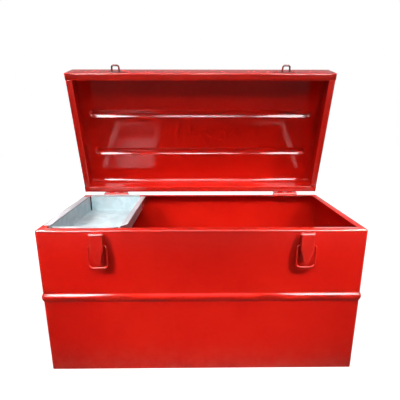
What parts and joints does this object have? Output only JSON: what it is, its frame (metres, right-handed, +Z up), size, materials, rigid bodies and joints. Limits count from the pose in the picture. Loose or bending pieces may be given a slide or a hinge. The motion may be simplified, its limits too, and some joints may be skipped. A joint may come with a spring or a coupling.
{
  "type": "sheet steel tool chest with lift-out tray",
  "caption": "Red folded-steel tool chest with a hinged lid, wire-bail draw latches, drop handles and a galvanised tray hanging on its rims.",
  "frame": {"origin": "middle of the underside of the floor pan, on the surface that the chest stands on", "axes": "+X to the right along the front, -Y out of the front towards the user, +Z up"},
  "size_m": [0.524, 0.3155, 0.5067],
  "materials": {
    "red_paint": "gloss",
    "red_hardware": "gloss",
    "zinc_sheet": "satin"
  },
  "bodies": {
    "chest": {"front_panel": "red_paint", "back_panel": "red_paint", "left_end_panel": "red_paint", "right_end_panel": "red_paint", "floor_pan": "red_paint", "hinge_left_body_leaf": "red_hardware", "hinge_right_body_leaf": "red_hardware", "hinge_left_pin": "red_hardware", "hinge_right_pin": "red_hardware", "hinge_body_rivets": "red_hardware", "latch_left_base": "red_hardware", "latch_right_base": "red_hardware", "latch_left_pin": "red_hardware", "latch_right_pin": "red_hardware", "latch_rivets": "red_hardware", "handle_left_clips": "red_hardware", "handle_right_clips": "red_hardware", "handle_rivets": "red_hardware"},
    "lid": {"lid_shell": "red_paint", "lid_left_end": "red_paint", "lid_right_end": "red_paint", "hinge_left_lid_leaf": "red_hardware", "hinge_right_lid_leaf": "red_hardware", "hinge_lid_rivets": "red_hardware", "strike_left": "red_hardware", "strike_right": "red_hardware", "strike_rivets": "red_hardware"},
    "left_lever": {"latch_left_lever": "red_hardware"},
    "right_lever": {"latch_right_lever": "red_hardware"},
    "left_bail": {"latch_left_bail": "red_hardware"},
    "right_bail": {"latch_right_bail": "red_hardware"},
    "left_handle": {"handle_left_bar": "red_hardware"},
    "right_handle": {"handle_right_bar": "red_hardware"},
    "tray": {"tray": "zinc_sheet"}
  },
  "joints": [
    {"name": "lid_hinge", "type": "hinge", "parent": "chest", "child": "lid", "pos_m": [0, 0.12745, 0.248], "axis": [-1, 0, 0], "range_deg": [-75.7, 104.3]},
    {"name": "left_lever_hinge", "type": "hinge", "parent": "chest", "child": "left_lever", "pos_m": [-0.1595, -0.129, 0.2419], "axis": [-1, 0, 0], "range_deg": [0, 120]},
    {"name": "left_bail_hinge", "type": "hinge", "parent": "left_lever", "child": "left_bail", "pos_m": [-0.1595, -0.129, 0.225], "axis": [1, 0, 0], "range_deg": [-180, 0]},
    {"name": "right_lever_hinge", "type": "hinge", "parent": "chest", "child": "right_lever", "pos_m": [0.1595, -0.129, 0.2419], "axis": [-1, 0, 0], "range_deg": [0, 120]},
    {"name": "right_bail_hinge", "type": "hinge", "parent": "right_lever", "child": "right_bail", "pos_m": [0.1595, -0.129, 0.225], "axis": [1, 0, 0], "range_deg": [-180, 0]},
    {"name": "left_handle_hinge", "type": "hinge", "parent": "chest", "child": "left_handle", "pos_m": [-0.25745, 0, 0.2], "axis": [0, 1, 0], "range_deg": [0, 175]},
    {"name": "right_handle_hinge", "type": "hinge", "parent": "chest", "child": "right_handle", "pos_m": [0.25745, 0, 0.2], "axis": [0, -1, 0], "range_deg": [0, 175]},
    {"name": "tray_slide", "type": "slide", "parent": "chest", "child": "tray", "axis": [1, 0, 0], "range_m": [0, 0.366]}
  ]
}
